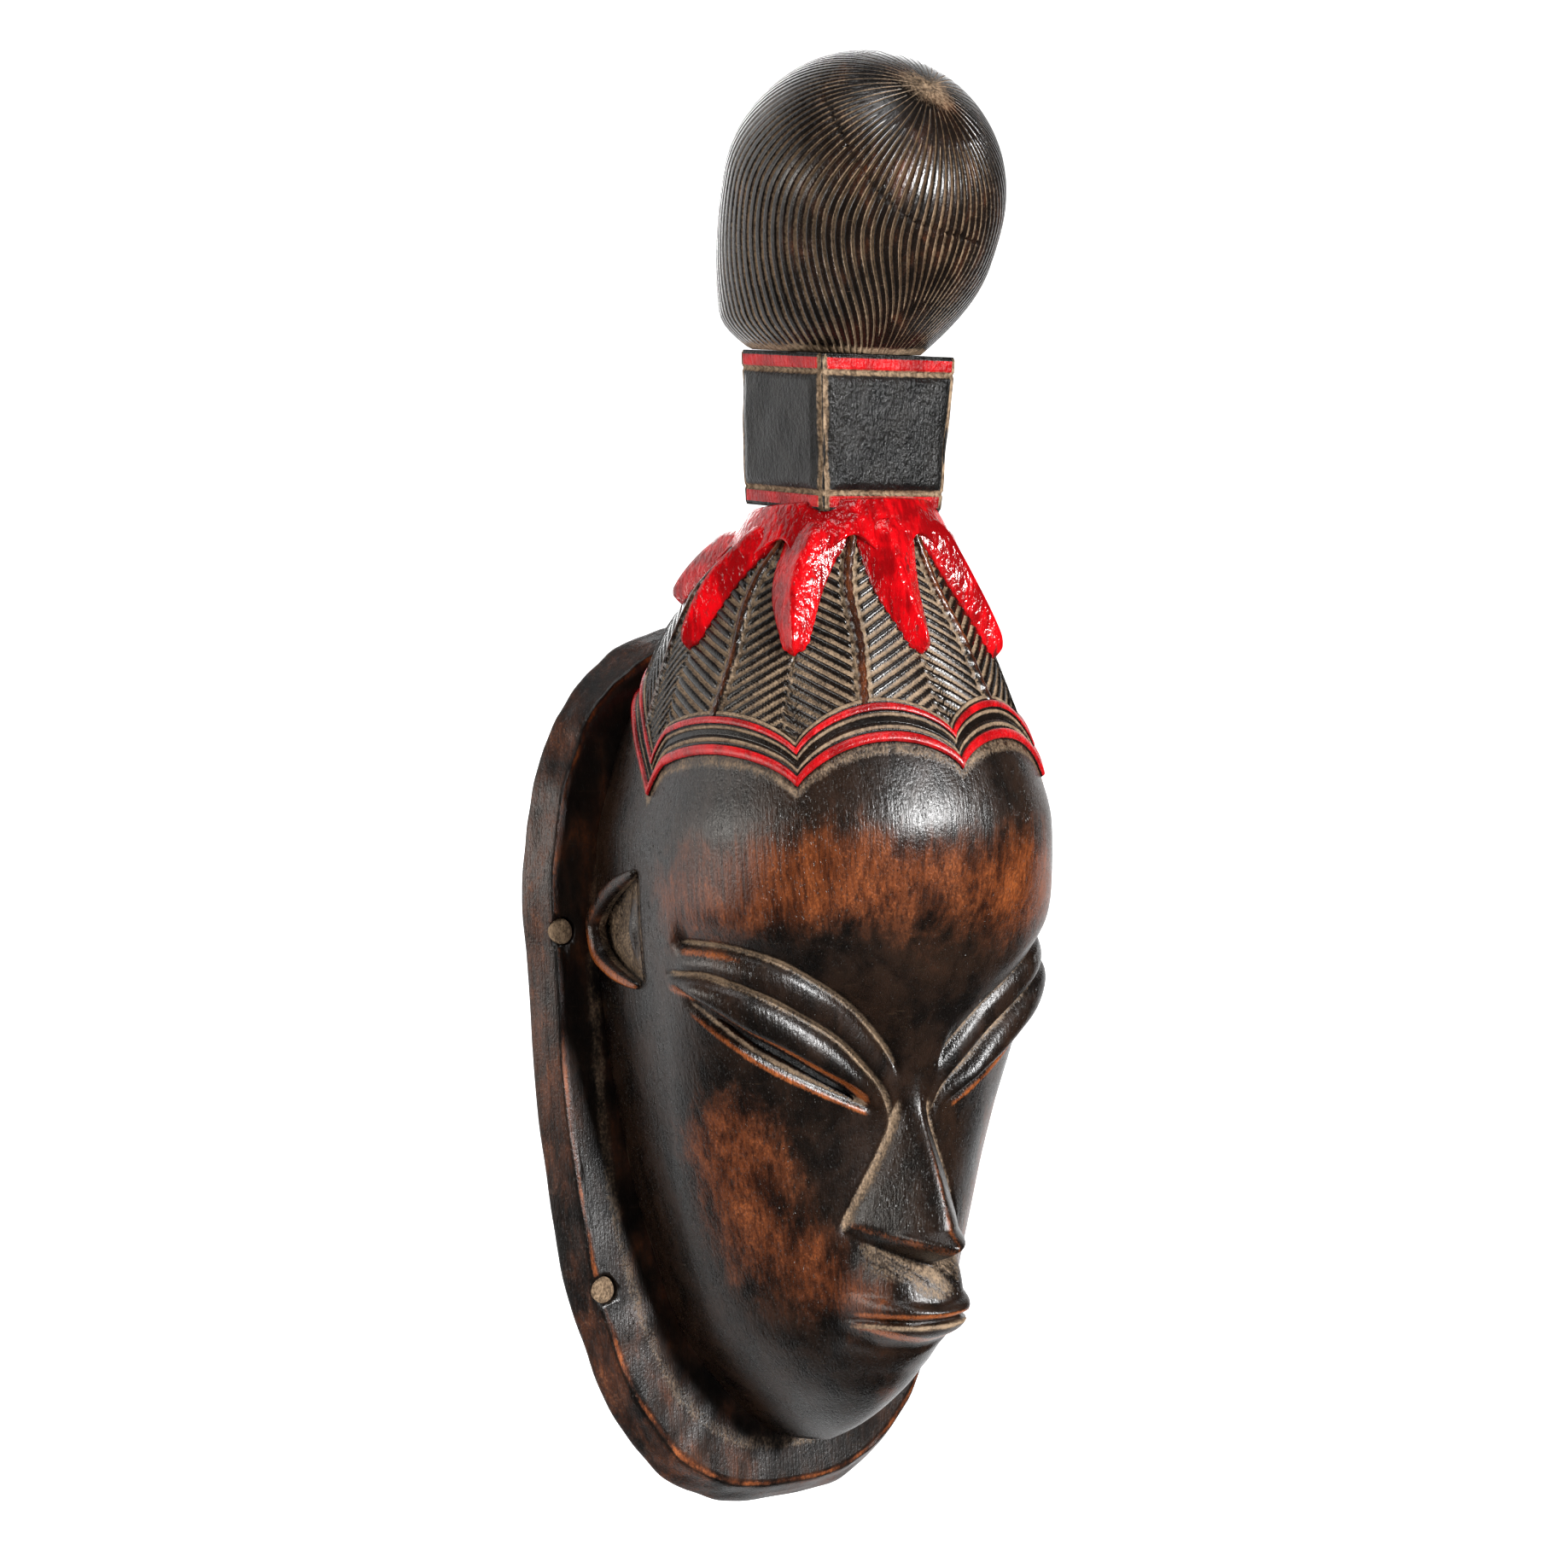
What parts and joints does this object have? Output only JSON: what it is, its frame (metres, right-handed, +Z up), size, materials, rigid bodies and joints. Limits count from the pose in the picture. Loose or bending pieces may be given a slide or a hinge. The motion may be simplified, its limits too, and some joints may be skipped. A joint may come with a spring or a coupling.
{
  "type": "carved wooden face mask",
  "caption": "Wall-hung carved wooden face mask with a hollow face, a leaning finial with a ribbed top-knot, painted petals and a swinging hanging ring at the back.",
  "frame": {"origin": "on the wall plane, in the middle, level with the axis of the hanging ring", "axes": "+Z up, the mask faces along -Y, the wall is the plane Y = 0, +X to the right of someone who looks at the face"},
  "size_m": [0.162, 0.1249, 0.4355],
  "materials": {
    "rim_wood": "dark stained wood, satin, tool marks",
    "face_wood": "dark patinated wood, worn to red-brown, waxed",
    "hair_wood": "dark carved wood with dust in the grooves",
    "peg_wood": "raw wood, matte",
    "red_paint": "wood under glossy red paint",
    "block_paint": "wood under black and red paint",
    "hanger_steel": "plated steel"
  },
  "bodies": {
    "mask": {"back_rim": "rim_wood", "rim_pegs": "peg_wood", "face_shell": "face_wood", "face_dowels": "peg_wood", "ear_left": "face_wood", "ear_right": "face_wood", "hair_cap": "hair_wood", "hairline_band": "red_paint", "petal_collar": "red_paint", "petal_1": "red_paint", "petal_2": "red_paint", "petal_3": "red_paint", "petal_4": "red_paint", "petal_5": "red_paint", "petal_6": "red_paint", "petal_7": "red_paint", "petal_8": "red_paint", "finial_block": "block_paint", "neck_dowel": "peg_wood", "knot_dowel": "peg_wood", "top_knot": "hair_wood", "hanger_strap": "hanger_steel", "hanger_screw": "hanger_steel"},
    "ring": {"hanger_ring": "hanger_steel"}
  },
  "joints": [
    {"name": "hanger_ring_swing", "type": "hinge", "parent": "mask", "child": "ring", "pos_m": [0, -0.00332, 0], "axis": [1, 0, 0], "range_deg": [0, 175]}
  ]
}
